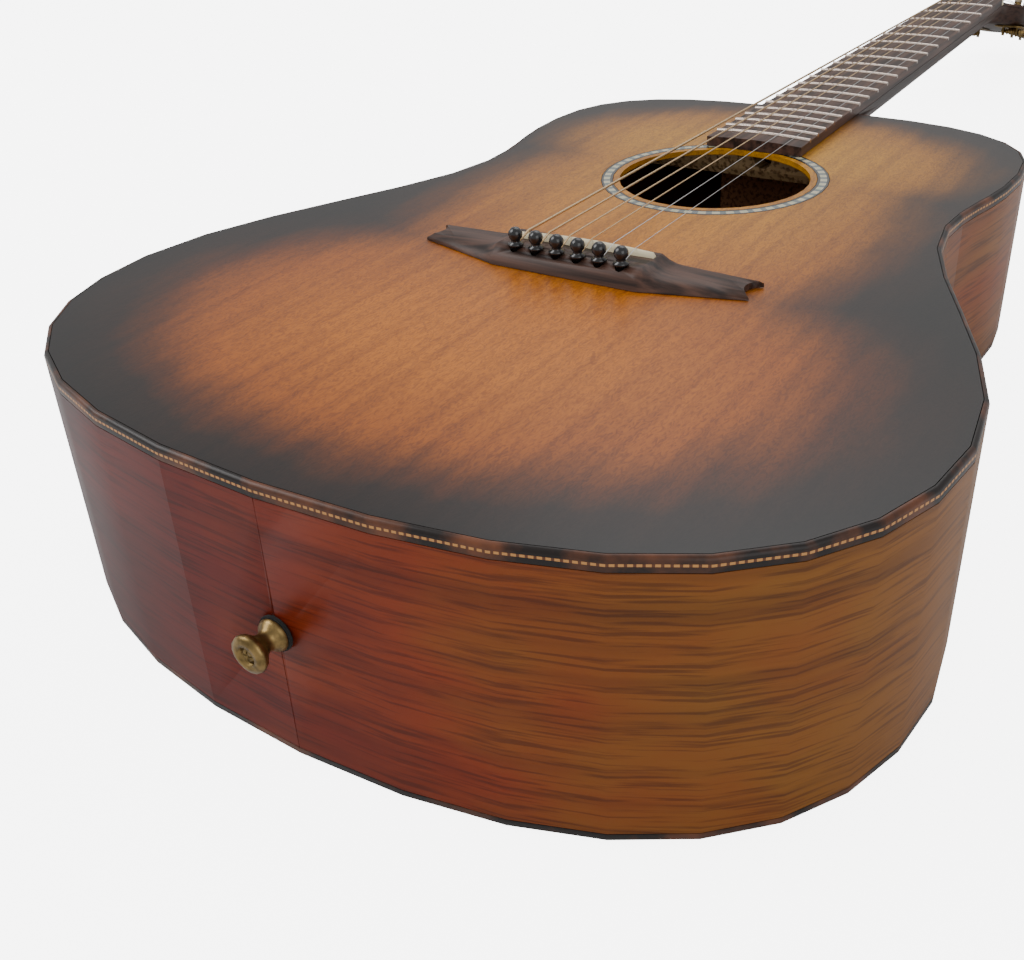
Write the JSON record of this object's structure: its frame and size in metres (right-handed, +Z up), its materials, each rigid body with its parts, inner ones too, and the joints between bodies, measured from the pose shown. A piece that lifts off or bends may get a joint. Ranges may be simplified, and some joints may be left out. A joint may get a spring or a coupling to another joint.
{
  "type": "dreadnought guitar",
  "caption": "Flat-top steel-string acoustic guitar with a broad-shouldered body, open round sound hole, pin bridge and worm-geared tuners, lying on its back.",
  "frame": {"origin": "middle of the footprint, on the surface that the guitar's back rests on", "axes": "+Y towards the headstock, +Z up out of the soundboard, +X to the treble side"},
  "size_m": [0.397, 1.062, 0.1299],
  "materials": {
    "top": "amber sunburst lacquer over figured wood",
    "side": "red-brown lacquered mahogany",
    "spruce": "bare spruce",
    "mahogany": "bare mahogany",
    "binding": "polished black",
    "rosette": "dark rings round a shell inlay",
    "rosewood": "oiled dark rosewood",
    "bone": "cream bone",
    "pin": "polished black",
    "bronze": "bronze winding",
    "plain_steel": "plain wire",
    "neck": "very dark brown lacquer",
    "antique_brass": "antique brass",
    "steel": "dark steel",
    "felt": "black felt"
  },
  "bodies": {
    "root": {"back_binding": "binding", "back_brace_1": "spruce", "back_brace_2": "spruce", "back_brace_3": "spruce", "back_brace_4": "spruce", "back_lining_bass": "spruce", "back_lining_treble": "spruce", "back_plate": "side", "bridge": "rosewood", "bridge_plate": "rosewood", "fretboard": "rosewood", "headstock_veneer": "rosewood", "heel_cap": "binding", "neck": "neck", "neck_block": "mahogany", "nut": "bone", "rosette": "rosette", "saddle": "bone", "side_bass": "side", "side_treble": "side", "strap_button": "antique_brass", "strap_button_screw": "antique_brass", "strap_button_washer": "felt", "string_1": "bronze", "string_2": "bronze", "string_3": "bronze", "string_4": "bronze", "string_5": "plain_steel", "string_6": "plain_steel", "tail_block": "mahogany", "tone_bar_1": "spruce", "tone_bar_2": "spruce", "top_binding": "binding", "top_lining_bass": "spruce", "top_lining_treble": "spruce", "top_plate": "top", "truss_rod": "steel", "tuner_plate_bass": "antique_brass", "tuner_plate_treble": "antique_brass", "upper_brace": "spruce", "x_brace": "spruce"},
    "tuner_post_1": {"tuner_post_1": "antique_brass"},
    "tuner_post_2": {"tuner_post_2": "antique_brass"},
    "tuner_post_3": {"tuner_post_3": "antique_brass"},
    "tuner_post_4": {"tuner_post_4": "antique_brass"},
    "tuner_post_5": {"tuner_post_5": "antique_brass"},
    "tuner_post_6": {"tuner_post_6": "antique_brass"},
    "tuner_knob_1": {"tuner_knob_1": "antique_brass"},
    "tuner_knob_2": {"tuner_knob_2": "antique_brass"},
    "tuner_knob_3": {"tuner_knob_3": "antique_brass"},
    "tuner_knob_4": {"tuner_knob_4": "antique_brass"},
    "tuner_knob_5": {"tuner_knob_5": "antique_brass"},
    "tuner_knob_6": {"tuner_knob_6": "antique_brass"},
    "bridge_pin_1": {"bridge_pin_1": "pin"},
    "bridge_pin_2": {"bridge_pin_2": "pin"},
    "bridge_pin_3": {"bridge_pin_3": "pin"},
    "bridge_pin_4": {"bridge_pin_4": "pin"},
    "bridge_pin_5": {"bridge_pin_5": "pin"},
    "bridge_pin_6": {"bridge_pin_6": "pin"},
    "truss_rod_nut": {"truss_rod_nut": "steel"}
  },
  "joints": [
    {"name": "tuner_knob_1_turn", "type": "hinge", "parent": "root", "child": "tuner_knob_1", "pos_m": [-0.0245, 0.38645, 0.0533], "axis": [1, 0, 0], "continuous": true},
    {"name": "tuner_post_1_turn", "type": "hinge", "parent": "root", "child": "tuner_post_1", "pos_m": [-0.0245, 0.39817, 0.0692], "axis": [0, 0.2874, 0.9578], "continuous": true},
    {"name": "bridge_pin_1_pull", "type": "slide", "parent": "root", "child": "bridge_pin_1", "axis": [0, 0.0472, 0.9989], "range_m": [0, 0.03]},
    {"name": "tuner_knob_2_turn", "type": "hinge", "parent": "root", "child": "tuner_knob_2", "pos_m": [-0.0245, 0.42189, 0.04266], "axis": [1, 0, 0], "continuous": true},
    {"name": "tuner_post_2_turn", "type": "hinge", "parent": "root", "child": "tuner_post_2", "pos_m": [-0.0245, 0.43361, 0.05856], "axis": [0, 0.2874, 0.9578], "continuous": true},
    {"name": "bridge_pin_2_pull", "type": "slide", "parent": "root", "child": "bridge_pin_2", "axis": [0, 0.0472, 0.9989], "range_m": [0, 0.03]},
    {"name": "tuner_knob_3_turn", "type": "hinge", "parent": "root", "child": "tuner_knob_3", "pos_m": [-0.0245, 0.45733, 0.03203], "axis": [1, 0, 0], "continuous": true},
    {"name": "tuner_post_3_turn", "type": "hinge", "parent": "root", "child": "tuner_post_3", "pos_m": [-0.0245, 0.46905, 0.04793], "axis": [0, 0.2874, 0.9578], "continuous": true},
    {"name": "bridge_pin_3_pull", "type": "slide", "parent": "root", "child": "bridge_pin_3", "axis": [0, 0.0472, 0.9989], "range_m": [0, 0.03]},
    {"name": "tuner_knob_4_turn", "type": "hinge", "parent": "root", "child": "tuner_knob_4", "pos_m": [0.0245, 0.45733, 0.03203], "axis": [1, 0, 0], "continuous": true},
    {"name": "tuner_post_4_turn", "type": "hinge", "parent": "root", "child": "tuner_post_4", "pos_m": [0.0245, 0.46905, 0.04793], "axis": [0, 0.2874, 0.9578], "continuous": true},
    {"name": "bridge_pin_4_pull", "type": "slide", "parent": "root", "child": "bridge_pin_4", "axis": [0, 0.0472, 0.9989], "range_m": [0, 0.03]},
    {"name": "tuner_knob_5_turn", "type": "hinge", "parent": "root", "child": "tuner_knob_5", "pos_m": [0.0245, 0.42189, 0.04266], "axis": [1, 0, 0], "continuous": true},
    {"name": "tuner_post_5_turn", "type": "hinge", "parent": "root", "child": "tuner_post_5", "pos_m": [0.0245, 0.43361, 0.05856], "axis": [0, 0.2874, 0.9578], "continuous": true},
    {"name": "bridge_pin_5_pull", "type": "slide", "parent": "root", "child": "bridge_pin_5", "axis": [0, 0.0472, 0.9989], "range_m": [0, 0.03]},
    {"name": "tuner_knob_6_turn", "type": "hinge", "parent": "root", "child": "tuner_knob_6", "pos_m": [0.0245, 0.38645, 0.0533], "axis": [1, 0, 0], "continuous": true},
    {"name": "tuner_post_6_turn", "type": "hinge", "parent": "root", "child": "tuner_post_6", "pos_m": [0.0245, 0.39817, 0.0692], "axis": [0, 0.2874, 0.9578], "continuous": true},
    {"name": "bridge_pin_6_pull", "type": "slide", "parent": "root", "child": "bridge_pin_6", "axis": [0, 0.0472, 0.9989], "range_m": [0, 0.03]},
    {"name": "truss_rod_nut_turn", "type": "hinge", "parent": "root", "child": "truss_rod_nut", "pos_m": [0, -0.05505, 0.09139], "axis": [0, -0.9989, 0.0472], "range_deg": [-180, 180]}
  ],
  "couplings": [
    {"joint": "tuner_post_1_turn", "follows": "tuner_knob_1_turn", "ratio": 0.071429},
    {"joint": "tuner_post_2_turn", "follows": "tuner_knob_2_turn", "ratio": 0.071429},
    {"joint": "tuner_post_3_turn", "follows": "tuner_knob_3_turn", "ratio": 0.071429},
    {"joint": "tuner_post_4_turn", "follows": "tuner_knob_4_turn", "ratio": -0.071429},
    {"joint": "tuner_post_5_turn", "follows": "tuner_knob_5_turn", "ratio": -0.071429},
    {"joint": "tuner_post_6_turn", "follows": "tuner_knob_6_turn", "ratio": -0.071429}
  ]
}
